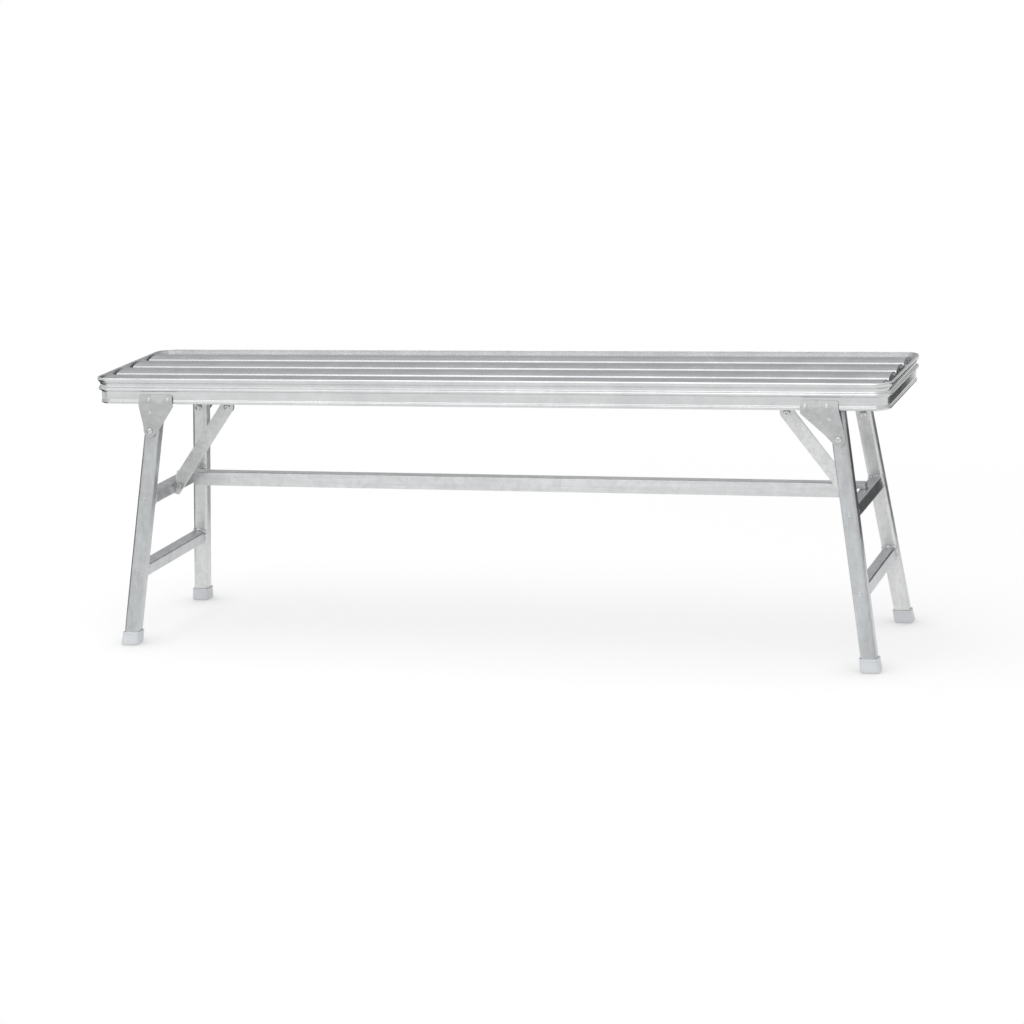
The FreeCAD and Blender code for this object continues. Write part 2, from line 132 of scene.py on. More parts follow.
FIXING_PLACES = ((0.553, 0.4055), (0.520, 0.4055))
FIXING_LENGTH = GUSSET_THICKNESS + 0.0050
CLINCH_PLACE = (0.555, 0.3835)
# How far inside the outline's ends the first and last rows are
HAIR = 0.00001

# Pivot rivets
RIVET_HEAD_HEIGHT = 0.0030
RIVET_SHANK_RADIUS = 0.004
SPACER_RADIUS = 0.007
SPACER_GAP = 0.0013
STAY_RIVET_HEAD_RADIUS = 0.0056
STAY_RIVET_HEAD_HEIGHT = 0.0024
STAY_RIVET_SHANK_RADIUS = 0.003

# Keepers: where the ear stands in Y, and its heights over the upper crossbar's middle
KEEPER_BACK = 0.0218
KEEPER_FRONT = 0.0243
KEEPER_LOW = 0.0005
KEEPER_HIGH = 0.0095
KEEPER_LENGTH = 0.015
KEEPER_CORNER_RADIUS = 0.004
KEEPER_STUD_INSET = 0.0072

# Welds. On the rear legs, the beads' upper halves are thicker, as the photograph has them.
WELD_POINTS = 72
WELD_SIDES = 10
WELD_RADIUS = 0.0019
WELD_EXTRA = 0.0014
# (distance from the leg's face, radius)
PLUG_PROFILE = ((-0.0006, 0), (-0.0006, 0.0034), (0.0002, 0.0034), (0.0006, 0.0029),
                (0.0006, 0.0024), (0.0002, 0.0019), (0.0001, 0.0008), (0.0001, 0))

# Edges sharper than this many degrees are shaded sharp, and a quarter turn takes this many steps
SMOOTH_ANGLE = 38
CORNER_STEPS = 6

# Studio. The floor is shaded near the object, with a painted contact shade at its feet, and white further out, and
# reflections see it bright.
FLOOR_REACH = 14
FLOOR_DROP = 0.0005
FLOOR_GREY = 0.88
SHADED_GREY = 0.44
# Painted contact shade: ambient occlusion cuts the light added to the floor near the object's feet, from the first
# lift in closed corners to the second on open floor
SHADED_LIFT = (0.42, 0.59)
PAINTED_CONTACT_SHADE_REACH = 0.06
PAINTED_CONTACT_SHADE_SAMPLES = 6
PAINTED_CONTACT_SHADE_RANGE = (0.6, 1.0)
FADE_STRETCH = (0.75, 1.0, 1.0)
FADE_RANGE = (0.75, 1.5)
MIRRORED_STRENGTH = 1.05
MIRRORED_SHARE = 0.9
# The room that reflections see: its top, its horizon in front and behind, and what diffuse light gets
ROOM_TOP = 1.0
ROOM_FRONT = 0.74
ROOM_BACK = 0.5
ROOM_DIFFUSE = 0.7
ROOM_DEPTH_RANGE = (-0.6, 0.7)
ROOM_HEIGHT_RANGE = (0.25, 0.8)
# Soft boxes: name, place, target, size and radiance
LAMPS = (("overhead", (-0.3, -0.4, 2.6), (0, 0, 0.3), (3.2, 2.0), 1.32),
         ("front", (-0.7, -3.6, 1.8), (-0.2, 0, 0.3), (4.4, 1.2), 1.15))
# Dark upright panels: name, ends in plan, heights and grey
FLAGS = (("right_flag", ((0.58, 0.50), (2.2, 0.50)), (0.07, 0.33), 0.01),
         ("middle_flag", ((-0.5, 0.50), (0.3, 0.50)), (0, 0.26), 0.25),
         ("left_flag", ((-0.95, -0.32), (-0.95, 1.0)), (0, 0.34), 0.01))


# Node materials

class Nodes:
    """Short calls for building the node tree of a material or a world."""

    def __init__(self, owner, output="ShaderNodeOutputMaterial"):
        self.owner = owner
        owner.use_nodes = True
        self.tree = owner.node_tree
        self.tree.nodes.clear()
        self.output = self.add(output)

    def add(self, kind, **settings):
        node = self.tree.nodes.new(kind)
        for key, value in settings.items():
            setattr(node, key, value)
        return node

    def link(self, source, target):
        self.tree.links.new(source, target)

    def feed(self, value, socket):
        """Sets a socket to a number or a colour, or links an output to it."""
        if isinstance(value, (int, float)):
            socket.default_value = value
        elif isinstance(value, tuple):
            socket.default_value = (*value, 1)
        else:
            self.link(value, socket)

    def coordinates(self, scale=(1, 1, 1)):
        """Object coordinates, stretched per axis."""
        place = self.add("ShaderNodeTexCoord")
        mapping = self.add("ShaderNodeMapping")
        mapping.inputs["Scale"].default_value = scale
        self.link(place.outputs["Object"], mapping.inputs["Vector"])
        return mapping.outputs["Vector"]

    def noise(self, scale, detail, rough, stretch=(1, 1, 1)):
        node = self.add("ShaderNodeTexNoise")
        node.inputs["Scale"].default_value = scale
        node.inputs["Detail"].default_value = detail
        node.inputs["Roughness"].default_value = rough
        self.link(self.coordinates(stretch), node.inputs["Vector"])
        return node.outputs["Fac"]

    def cells(self, scale):
        """A random grey for each crystal."""
        node = self.add("ShaderNodeTexVoronoi")
        node.inputs["Scale"].default_value = scale
        self.link(self.coordinates(), node.inputs["Vector"])
        grey = self.add("ShaderNodeRGBToBW")
        self.link(node.outputs["Color"], grey.inputs["Color"])
        return grey.outputs["Val"]

    def fit(self, value, low, high, start=0.0, end=1.0, kind="LINEAR"):
        """Maps start..end to low..high."""
        node = self.add("ShaderNodeMapRange", interpolation_type=kind)
        node.inputs["From Min"].default_value = start
        node.inputs["From Max"].default_value = end
        node.inputs["To Min"].default_value = low
        node.inputs["To Max"].default_value = high
        self.link(value, node.inputs["Value"])
        return node.outputs["Result"]

    def math(self, operation, *values):
        node = self.add("ShaderNodeMath", operation=operation)
        for socket, value in zip(node.inputs, values):
            self.feed(value, socket)
        return node.outputs[0]

    def mix(self, amount, first, second, blend="MIX"):
        node = self.add("ShaderNodeMix", data_type="RGBA", blend_type=blend)
        for socket, value in ((node.inputs[0], amount), (node.inputs[6], first), (node.inputs[7], second)):
            self.feed(value, socket)
        return node.outputs[2]

    def bump(self, height, strength, distance, normal=None):
        node = self.add("ShaderNodeBump")
        node.inputs["Strength"].default_value = strength
        node.inputs["Distance"].default_value = distance
        self.link(height, node.inputs["Height"])
        if normal is not None:
            self.link(normal, node.inputs["Normal"])
        return node.outputs["Normal"]

    def light(self, strength, kind="ShaderNodeEmission"):
        """White light of a given strength."""
        node = self.add(kind)
        node.inputs["Color"].default_value = (1, 1, 1, 1)
        self.feed(strength, node.inputs["Strength"])
        return node.outputs[0]

    def matt(self, grey):
        node = self.add("ShaderNodeBsdfDiffuse")
        node.inputs["Color"].default_value = (grey, grey, grey, 1)
        return node.outputs[0]

    def blend(self, amount, first, second):
        """Mixes two shaders."""
        node = self.add("ShaderNodeMixShader")
        for socket, value in zip(node.inputs, (amount, first, second)):
            self.link(value, socket)
        return node.outputs[0]

    def camera_share(self, path):
        """1 for what the camera sees, also through clear things, and 0 for all other rays."""
        return self.math("MAXIMUM", path.outputs["Is Camera Ray"], path.outputs["Is Transmission Ray"])

    def finish(self, colour, roughness, metallic, normal):
        shader = self.add("ShaderNodeBsdfPrincipled")
        self.link(colour, shader.inputs["Base Color"])
        self.link(roughness, shader.inputs["Roughness"])
        shader.inputs["Metallic"].default_value = metallic
        self.link(normal, shader.inputs["Normal"])
        self.link(shader.outputs["BSDF"], self.output.inputs["Surface"])
        return self.owner


def new_nodes(name):
    """The empty node tree of a new material."""
    return Nodes(bpy.data.materials.new(name))


# The spans that a texture's values mostly fall in
CRYSTAL_SPAN = (0.2, 0.8)
CLOUD_SPAN = (0.3, 0.7)
STREAK_SPAN = (0.35, 0.65)
BLOOM_SPAN = (0.5, 0.75)
SCUFF_SPAN = (0.55, 0.75)
BLOOM_COLOUR = (0.80, 0.81, 0.80)


def zinc(name, tint, rough, spangle, crystals_per_metre, streaks, run, waves, relief=0.02, metallic=0.85):
    """Galvanised steel: crystals in different greys, cloudy patches, rolling streaks, waves and grain.

    spangle and streaks are how strongly those two show, run stretches the streaks along
    the way the metal was rolled, and waves is how far the sheet is off flat, in metres.
    """
    n = new_nodes(name)
    large = n.cells(crystals_per_metre)
    small = n.cells(crystals_per_metre * 2.7)
    crystals = n.math("ADD", n.math("MULTIPLY", large, 0.6), n.math("MULTIPLY", small, 0.4))
    clouds = n.noise(scale=11, detail=5, rough=0.65)
    streak = n.noise(scale=55, detail=4, rough=0.6, stretch=run)
    hair = n.noise(scale=420, detail=3, rough=0.6, stretch=run)
    grain = n.noise(scale=1100, detail=2, rough=0.5)
    shade = n.math("MULTIPLY", n.fit(crystals, 1 - spangle, 1 + spangle * 0.7, *CRYSTAL_SPAN),
                   n.fit(clouds, 0.93, 1.05, *CLOUD_SPAN))
    shade = n.math("MULTIPLY", shade, n.fit(streak, 1 - streaks, 1 + streaks * 0.6, *STREAK_SPAN))
    shade = n.math("MULTIPLY", shade, n.fit(hair, 1 - streaks * 0.5, 1 + streaks * 0.4, *STREAK_SPAN))
    grey = n.mix(1.0, tint, shade, "MULTIPLY")
    bloom = n.fit(n.noise(scale=26, detail=6, rough=0.7), 0.0, 0.22, *BLOOM_SPAN)
    colour = n.mix(bloom, grey, BLOOM_COLOUR)
    roughness = n.math("ADD", n.fit(crystals, rough - spangle * 0.4, rough + spangle * 0.5, *CRYSTAL_SPAN),
                       n.fit(clouds, -0.03, 0.03, *CLOUD_SPAN))
    swell = n.noise(scale=9, detail=2, rough=0.5, stretch=tuple(0.4 + 0.6 * v for v in run))
    wavy = n.bump(swell, 1.0, waves)
    height = n.math("ADD", n.math("MULTIPLY", crystals, 0.6), n.math("MULTIPLY", grain, 0.4))
    return n.finish(colour, roughness, metallic, n.bump(height, relief, 0.0001, wavy))


def plastic(name, tint):
    """Moulded pale plastic with faint mottling, scuffs and a fine texture."""
    n = new_nodes(name)
    clouds = n.noise(scale=40, detail=4, rough=0.6)
    grain = n.noise(scale=1800, detail=2, rough=0.5)
    scuffs = n.noise(scale=160, detail=5, rough=0.7, stretch=(1, 1, 0.3))
    colour = n.mix(n.fit(clouds, 0.0, 0.5), tint, tuple(c * 0.93 for c in tint))
    colour = n.mix(n.fit(scuffs, 0.0, 0.35, *SCUFF_SPAN), colour, tuple(c * 0.82 for c in tint))
    return n.finish(colour, n.fit(grain, 0.38, 0.52), 0.0, n.bump(grain, 0.2, 0.0002))


ALONG_X = (0.03, 1, 1)
ALONG_Z = (1, 1, 0.03)
EVEN = (1, 1, 1)
MATERIALS = {
    "band_steel": zinc("band_steel", (0.66, 0.67, 0.675), rough=0.24, spangle=0.03, crystals_per_metre=50,
                       streaks=0.04, run=ALONG_X, waves=0.0003, relief=0.0),
    "slat_steel": zinc("slat_steel", (0.47, 0.485, 0.497), rough=0.27, spangle=0.04, crystals_per_metre=60,
                       streaks=0.06, run=ALONG_X, waves=0.0001, relief=0.0),
    "tube_steel": zinc("tube_steel", (0.57, 0.588, 0.60), rough=0.31, spangle=0.06, crystals_per_metre=100,
                       streaks=0.09, run=ALONG_Z, waves=0.0003, relief=0.0),
    "plate_steel": zinc("plate_steel", (0.52, 0.53, 0.53), rough=0.42, spangle=0.12, crystals_per_metre=150,
                        streaks=0.03, run=EVEN, waves=0.0001, relief=0.08),
    "rivet_steel": zinc("rivet_steel", (0.66, 0.67, 0.675), rough=0.27, spangle=0.06, crystals_per_metre=260,
                        streaks=0.02, run=EVEN, waves=0.0001),
    "cap_plastic": plastic("cap_plastic", (0.73, 0.75, 0.77)),
}
# Paler steel, as the photograph has them, by the ending of the node's name: paler tints for the stays and the
# stretcher, and for the rear legs a lighter, less metallic copy of the tube steel, which is painted light
PALER_STEEL_AND_PAINTED_LIGHT = {
    "stay": zinc("stay_steel", (0.76, 0.77, 0.765), rough=0.44, spangle=0.12, crystals_per_metre=150,
                 streaks=0.03, run=EVEN, waves=0.0001, relief=0.08, metallic=0.8),
    "stretcher": zinc("stretcher_steel", (0.70, 0.71, 0.715), rough=0.33, spangle=0.08, crystals_per_metre=90,
                      streaks=0.07, run=ALONG_X, waves=0.0002),
    # Painted light: the rear legs' steel is a paler copy of the tube steel, for the light their faces catch from
    # the floor under the bench
    "rear_leg": zinc("rear_tube_steel", (0.72, 0.73, 0.725), rough=0.38, spangle=0.08, crystals_per_metre=100,
                     streaks=0.08, run=ALONG_Z, waves=0.0003, relief=0.0, metallic=0.75),
}
for name, node in nodes.items():
    for place in node.material_slots:
        place.material = MATERIALS[place.material.name.split(".")[0]]
    for ending, steel in PALER_STEEL_AND_PAINTED_LIGHT.items():
        if name.endswith(ending):
            node.material_slots[0].material = steel


# Shapes

def new_piece(name, slot, body, mesh, stands_for=()):
    """Puts a finished bmesh in the scene, riding on a CAD body."""
    bmesh.ops.recalc_face_normals(mesh, faces=mesh.faces)
    data = bpy.data.meshes.new(name)
    mesh.to_mesh(data)
    mesh.free()
    piece = bpy.data.objects.new(name, data)
    bpy.context.scene.collection.objects.link(piece)
    data.materials.append(MATERIALS[slot])
    for face in data.polygons:
        face.use_smooth = True
    data.set_sharp_from_angle(angle=math.radians(SMOOTH_ANGLE))
    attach(piece, body)
    if stands_for:
        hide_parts(*stands_for)
    return piece


def arc(centre, radius, start, finish, steps):
    """Points along an arc, evenly spaced, with its angles in degrees."""
    angles = [math.radians(start + (finish - start) * step / steps) for step in range(steps + 1)]
    return [(centre[0] + radius * math.cos(angle), centre[1] + radius * math.sin(angle)) for angle in angles]


def rounded_rectangle(half_x, half_y, radius, steps):
    """Places round a rectangle, with an arc about each corner of a smaller one of the given half sizes."""
    places = []
    for quarter, (sx, sy) in enumerate(QUARTERS):
        places += arc((sx * half_x, sy * half_y), radius, 90 * quarter, 90 * (quarter + 1), steps)
    return places


def bridge(mesh, rings, closed):
    """Faces between neighbouring rings of equal count, each ring closed on itself."""
    following = rings[1:] + rings[:1] if closed else rings[1:]
    for first, second in zip(rings, following):
        for index in range(len(first)):
            after = (index + 1) % len(first)
            mesh.faces.new((first[index], first[after], second[after], second[index]))


def strip(mesh, first, second):
    """Faces between two open rows of equal count."""
    for step in range(len(first) - 1):
        mesh.faces.new((first[step], first[step + 1], second[step + 1], second[step]))


def lathe(mesh, origin, axis, profile, segments=32):
    """Turns (distance along the axis, radius) pairs into a closed solid."""
    axis = Vector(axis).normalized()
    across = axis.orthogonal().normalized()
    other = axis.cross(across)
    origin = Vector(origin)
    turns = [2 * math.pi * step / segments for step in range(segments)]
    rings = []
    for along, radius in profile:
        if radius == 0:
            rings.append([mesh.verts.new(origin + axis * along)])
            continue
        rings.append([mesh.verts.new(origin + axis * along
                                     + (across * math.cos(turn) + other * math.sin(turn)) * radius)
                      for turn in turns])
    for first, second in zip(rings, rings[1:]):
        for index in range(segments):
            after = (index + 1) % segments
            if len(first) == 1:
                mesh.faces.new((first[0], second[index], second[after]))
            elif len(second) == 1:
                mesh.faces.new((first[index], first[after], second[0]))
            else:
                mesh.faces.new((first[index], first[after], second[after], second[index]))


def dome(base, radius, height, dimple=0.0):
    """A rivet head's profile from its rim to its middle, with an upset dimple if one is given."""
    rim = height * 0.25
    points = [(base, radius * 0.96), (base + rim, radius)]
    for step in range(1, CORNER_STEPS + 1):
        turn = math.radians(90 * step / CORNER_STEPS)
        points.append((base + rim + (height - rim) * math.sin(turn), max(0, radius * math.cos(turn))))
    points[-1] = (base + height, 0)
    if dimple:
        edge = radius * 0.42
        points = [point for point in points if point[1] > edge]
        top = base + height * 0.92
        points += [(top, edge), (top - dimple * 0.6, edge * 0.8), (top - dimple, edge * 0.5), (top - dimple, 0)]
    return points


def mirrored(profile):
    """The same head seen from the other end of the axis."""
    return [(-along, radius) for along, radius in reversed(profile)]


# Seat

def band_arc(centre, radius, start, finish):
    """An arc of the band's section, in steps no longer than the band's."""
    return arc(centre, radius, start, finish, max(2, math.ceil(abs(finish - start) / BAND_ARC_STEP)))


def wave(upper, lower, shift):
    """Two equal arcs from one upright place of the strip down to the next, moved inwards by shift."""
    sideways = lower[0] - upper[0]
    drop = upper[1] - lower[1]
    side = math.copysign(1, sideways)
    turn = 2 * math.degrees(math.atan(abs(sideways) / drop))
    radius = drop / (2 * math.sin(math.radians(turn)))
    first = (upper[0] + side * radius, upper[1])
    second = (lower[0] - side * radius, lower[1])
    if side > 0:
        high = band_arc(first, radius + shift, 180, 180 + turn)
        low = band_arc(second, radius - shift, turn, 0)
    else:
        high = band_arc(first, radius - shift, 0, -turn)
        low = band_arc(second, radius + shift, 180 - turn, 180)
    return high + low[1:]


def band_section():
    """The strip's closed section as (outward offset, height) pairs."""
    low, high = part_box("seat_band")
    lip_z = high[2] - BAND_LIP_RADIUS
    foot_z = low[2] - BAND_HEM_DROP + BAND_FOOT_RADIUS
    lip = (0.0, lip_z)
    neck, bead, flat = ((-depth, high[2] - drop) for depth, drop in (BAND_NECK, BAND_BEAD, BAND_FLAT))
    turn = (flat[0], foot_z + BAND_HEM_ROLL)
    foot = (-BAND_FOOT_DEPTH, foot_z)
    outer = wave(lip, neck, 0) + wave(neck, bead, 0)[1:] + wave(bead, flat, 0)[1:] + wave(turn, foot, 0)
    inner = wave(neck, bead, BAND_SHEET) + wave(bead, flat, BAND_SHEET)[1:]
    edge = (BAND_LIP_EDGE - BAND_LIP_WIDTH, high[2] - BAND_LIP_EDGE)
    roll = [(-BAND_LIP_WIDTH, lip_z - BAND_LIP_SIDE)]
    roll += band_arc(edge, BAND_LIP_EDGE, 180, 90)
    roll += band_arc((-BAND_LIP_RADIUS, lip_z), BAND_LIP_RADIUS, 90, 0)
    hem = band_arc((foot[0] - BAND_FOOT_RADIUS, foot_z), BAND_FOOT_RADIUS, 0, -180)
    hem_top = (flat[0] - BAND_SHEET, foot_z + BAND_HEM_ROLL)
    return roll + outer[1:] + hem[1:] + [hem_top] + inner[::-1]


def make_band():
    """The seat band as one smooth strip swept round the seat."""
    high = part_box("seat_band")[1]
    centre_x = high[0] - BAND_CORNER_RADIUS
    centre_y = high[1] - BAND_CORNER_RADIUS
    loops = [[(x, y, z) for x, y in rounded_rectangle(centre_x, centre_y, BAND_CORNER_RADIUS + offset,
                                                      BAND_CORNER_STEPS)]
             for offset, z in band_section()]
    mesh = bmesh.new()
    bridge(mesh, [[mesh.verts.new(place) for place in places] for places in zip(*loops)], closed=True)
    new_piece("band_strip", "band_steel", "seat", mesh, ("seat_band",))


def arch(half, top, bottom, radius):
    """One arch from foot to foot: upright sides, round shoulders and a flat crown curve."""
    steps = SLAT_SHOULDER_STEPS
    flat = half - radius
    crown_radius = (flat ** 2 + SLAT_CROWN ** 2) / (2 * SLAT_CROWN)
    tilt = math.degrees(math.asin(flat / crown_radius))
    side = [(half, bottom)] + arc((flat, top - SLAT_CROWN - radius), radius, 0, 90, steps)
    crown = arc((0, top - crown_radius), crown_radius, 90 - tilt, 90 + tilt, 2 * steps)
    return side + crown[1:-1] + [(-y, z) for y, z in reversed(side)]


def make_slats():
    """Smooth arched slats, with the outer two trimmed to the band's corners."""
    band_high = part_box("seat_band")[1]
    corner_x = band_high[0] - BAND_CORNER_RADIUS
    corner_y = band_high[1] - BAND_CORNER_RADIUS
    for number in range(1, SLAT_COUNT + 1):
        name = "slat_" + str(number)
        low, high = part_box(name)
        middle = (low[1] + high[1]) / 2
        half = (high[1] - low[1]) / 2
        top = high[2] - SLAT_TOP_DROP
        section = arch(half, top, low[2], SLAT_SHOULDER_RADIUS)
        section += reversed(arch(half - SLAT_SHEET, top - SLAT_SHEET, low[2], SLAT_SHOULDER_RADIUS - SLAT_SHEET))
        left_end = []
        for y, z in section:
            past = max(0, abs(middle + y) - corner_y)
            corner_end = corner_x + math.sqrt(max(0, SLAT_CORNER_REACH ** 2 - past ** 2))
            left_end.append(min(SLAT_LEFT_END, corner_end))
        mesh = bmesh.new()
        rings = [[mesh.verts.new((-x, middle + y, z)) for x, (y, z) in zip(left_end, section)],
                 [mesh.verts.new((SLAT_RIGHT_END, middle + y, z)) for y, z in section]]
        bridge(mesh, rings, closed=False)
        for ring in rings:
            count = len(ring) // 2
            strip(mesh, ring[:count], ring[count:][::-1])
        new_piece(name + "_arch", "slat_steel", "seat", mesh, (name,))


def make_leg_rivets():
    """The four leg pivot rivets, with upset heads and the spacer collar between gusset and leg."""
    collar = LEG_Y + LEG_DEPTH / 2 + SPACER_GAP
    for _, leg, sx, sy in LEGS:
        name = leg + "_leg_rivet"
        low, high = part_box(name)
        inner, outer = sorted((abs(low[1]), abs(high[1])))
        inner += RIVET_HEAD_HEIGHT
        outer -= RIVET_HEAD_HEIGHT
        gusset = outer - GUSSET_THICKNESS
        profile = mirrored(dome(-inner, 0.0056, RIVET_HEAD_HEIGHT))
        profile += [(inner, RIVET_SHANK_RADIUS), (collar, RIVET_SHANK_RADIUS), (collar, SPACER_RADIUS),
                    (gusset, SPACER_RADIUS), (gusset, RIVET_SHANK_RADIUS), (outer, RIVET_SHANK_RADIUS)]
        profile += dome(outer, 0.0052, RIVET_HEAD_HEIGHT, dimple=0.0013)
        mesh = bmesh.new()
        lathe(mesh, (sx * PIVOT_X, 0, PIVOT_Z), (0, sy, 0), profile)
        new_piece(name + "_turned", "rivet_steel", "seat", mesh, (name,))


def make_stay_rivets():
    """The two rivets that carry the stays."""
    for side, _ in SIDES:
        name = side + "_stay_rivet"
        low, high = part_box(name)
        front = -low[1] - STAY_RIVET_HEAD_HEIGHT
        back = -high[1] + STAY_RIVET_HEAD_HEIGHT
        profile = mirrored(dome(-back, STAY_RIVET_HEAD_RADIUS, STAY_RIVET_HEAD_HEIGHT))
        profile += [(back, STAY_RIVET_SHANK_RADIUS), (front, STAY_RIVET_SHANK_RADIUS)]
        profile += dome(front, STAY_RIVET_HEAD_RADIUS, STAY_RIVET_HEAD_HEIGHT, dimple=0.0009)
        mesh = bmesh.new()
        lathe(mesh, ((low[0] + high[0]) / 2, 0, (low[2] + high[2]) / 2), (0, -1, 0), profile)
        new_piece(name + "_turned", "rivet_steel", "seat", mesh, (name,))


def gusset_y(z):
    """Where the gusset's outer face is at a height."""
    for (z0, y0), (z1, y1) in zip(GUSSET_LINE, GUSSET_LINE[1:]):
        if z >= z1:
            return y0 + (y1 - y0) * (z0 - z) / (z0 - z1)
    return GUSSET_LINE[-1][1]


def gusset_normal(z, sy):
    """The way out of the gusset's outer face at a height, from its slope over 2 mm."""
    return (0, sy, -(gusset_y(z + 0.001) - gusset_y(z - 0.001)) / 0.002)


def tangent_point(x, z, side):
    """Where a line from a corner of the gusset touches its eye, on the chosen side."""
    dx = PIVOT_X - x
    dz = PIVOT_Z - z
    distance = math.hypot(dx, dz)
    turn = math.atan2(dz, dx) + side * math.asin(GUSSET_EYE_RADIUS / distance)
    reach = math.sqrt(distance ** 2 - GUSSET_EYE_RADIUS ** 2)
    return (x + reach * math.cos(turn), z + reach * math.sin(turn))


def gusset_outline():
    """The gusset's outline as a closed list of (x, z) places, with round corners and eye."""
    start = tangent_point(GUSSET_OUTER_X, GUSSET_TOP, 1)
    finish = tangent_point(GUSSET_INNER_X, GUSSET_SIDE, -1)
    first = math.degrees(math.atan2(start[1] - PIVOT_Z, start[0] - PIVOT_X))
    last = math.degrees(math.atan2(finish[1] - PIVOT_Z, finish[0] - PIVOT_X)) - 360
    eye = arc((PIVOT_X, PIVOT_Z), GUSSET_EYE_RADIUS, first, last, GUSSET_EYE_STEPS)
    radius = GUSSET_CORNER_RADIUS
    high = GUSSET_TOP - radius
    outer_corner = arc((GUSSET_OUTER_X - radius, high), radius, 90, 0, CORNER_STEPS)
    inner_corner = arc((GUSSET_INNER_X + radius, high), radius, 180, 90, CORNER_STEPS)
    return outer_corner + eye + [(GUSSET_INNER_X, GUSSET_SIDE)] + inner_corner


def width_at(outline, z):
    """The lowest and highest x of the outline at a height."""
    found = []
    for (x0, z0), (x1, z1) in zip(outline, outline[1:] + outline[:1]):
        if min(z0, z1) <= z <= max(z0, z1) and z0 != z1:
            found.append(x0 + (x1 - x0) * (z - z0) / (z1 - z0))
    return min(found), max(found)


def make_gussets():
    """Bent gusset plates, flush with the band above and upright at the pivot, with a softened edge."""
    outline = gusset_outline()
    bottom = min(z for x, z in outline)
    heights = sorted({z for x, z in outline if z > bottom + HAIR} | GUSSET_ROWS)
    heights = [bottom + HAIR] + [z for z in heights if z < GUSSET_TOP - 2 * HAIR] + [GUSSET_TOP - HAIR]
    for _, leg, sx, sy in LEGS:
        mesh = bmesh.new()
        faces = []
        for depth in (0, GUSSET_THICKNESS):
            grid = []
            for z in heights:
                low, high = width_at(outline, z)
                grid.append([mesh.verts.new((sx * (low + (high - low) * step / GUSSET_COLUMNS),
                                             sy * (gusset_y(z) - depth), z))
                             for step in range(GUSSET_COLUMNS + 1)])
            faces.append(grid)
            for lower, upper in zip(grid, grid[1:]):
                strip(mesh, lower, upper)
        outer, inner = faces
        for end in (0, -1):
            strip(mesh, outer[end], inner[end])
            strip(mesh, [row[end] for row in outer], [row[end] for row in inner])
        name = leg + "_gusset"
        piece = new_piece(name + "_plate", "plate_steel", "seat", mesh, (name,))
        edge = piece.modifiers.new("edge", "BEVEL")
        edge.width = GUSSET_EDGE
        edge.segments = 2
        edge.angle_limit = math.radians(GUSSET_EDGE_ANGLE)


def make_fixings():
    """Two rivets through each gusset and the band, and a clinched boss on the gusset's slope."""
    rivet = mirrored(dome(FIXING_LENGTH, 0.0034, 0.0012)) + [(-FIXING_LENGTH, 0.0022), (0, 0.0022)]
    rivet += dome(0, 0.0034, 0.0015, dimple=0.0005)
    boss = mirrored(dome(GUSSET_THICKNESS, 0.0034, 0.0012, dimple=0.0006))
    boss += [(-GUSSET_THICKNESS, 0.0026), (0, 0.0026)]
    boss += dome(0, 0.0032, 0.0007, dimple=0.0004)
    for _, leg, sx, sy in LEGS:
        mesh = bmesh.new()
        for (x, z), profile in [(place, rivet) for place in FIXING_PLACES] + [(CLINCH_PLACE, boss)]:
            lathe(mesh, (sx * x, sy * gusset_y(z), z), gusset_normal(z, sy), profile, 24)
        new_piece(leg + "_fixings", "rivet_steel", "seat", mesh)


# Leg frames

def leaned(point, sx):
    """Moves a point of the upright right frame to its standing place, at either end."""
    place = Matrix.Rotation(math.radians(-LEG_LEAN), 3, "Y") @ Vector((point[0], 0, point[2]))
    return Vector((sx * (PIVOT_X + place.x), point[1], PIVOT_Z + place.z))


def leg_face(drop, side):
    """Where along Y a rear leg's inner (-1) or outer (1) face is, at a drop below the pivot."""
    flare = math.radians(LEG_FLARE)
    return LEG_Y + side * LEG_DEPTH / 2 / math.cos(flare) + drop * math.tan(flare)


def cap_ring(mesh, z, stand_out, sx, sy):
    """A level ring of a foot cap, centred on its leg at a height."""
    share = 1 - z / PIVOT_Z
    centre_x = PIVOT_X + (FOOT_X - PIVOT_X) * share
    centre_y = LEG_Y + (FOOT_Y - LEG_Y) * share
    places = rounded_rectangle(CAP_HALF_X - CAP_CORNER_RADIUS, CAP_HALF_Y - CAP_CORNER_RADIUS,
                               CAP_CORNER_RADIUS + stand_out, CORNER_STEPS)
    return [mesh.verts.new((sx * (centre_x + x), sy * (centre_y + y), z)) for x, y in places]


def make_caps():
    """The four foot caps."""
    for side, leg, sx, sy in LEGS:
        mesh = bmesh.new()
        rings = [cap_ring(mesh, z, stand_out, sx, sy) for z, stand_out in CAP_OUTSIDE]
        rings.append(cap_ring(mesh, CAP_FLOOR, CAP_OUTSIDE[-1][1], sx, sy))
        bridge(mesh, rings, closed=False)
        for ring in (rings[0], rings[-1]):
            mesh.faces.new(ring)
        name = leg + "_foot_cap"
        new_piece(name + "_cup", "cap_plastic", side + "_frame", mesh, (name,))


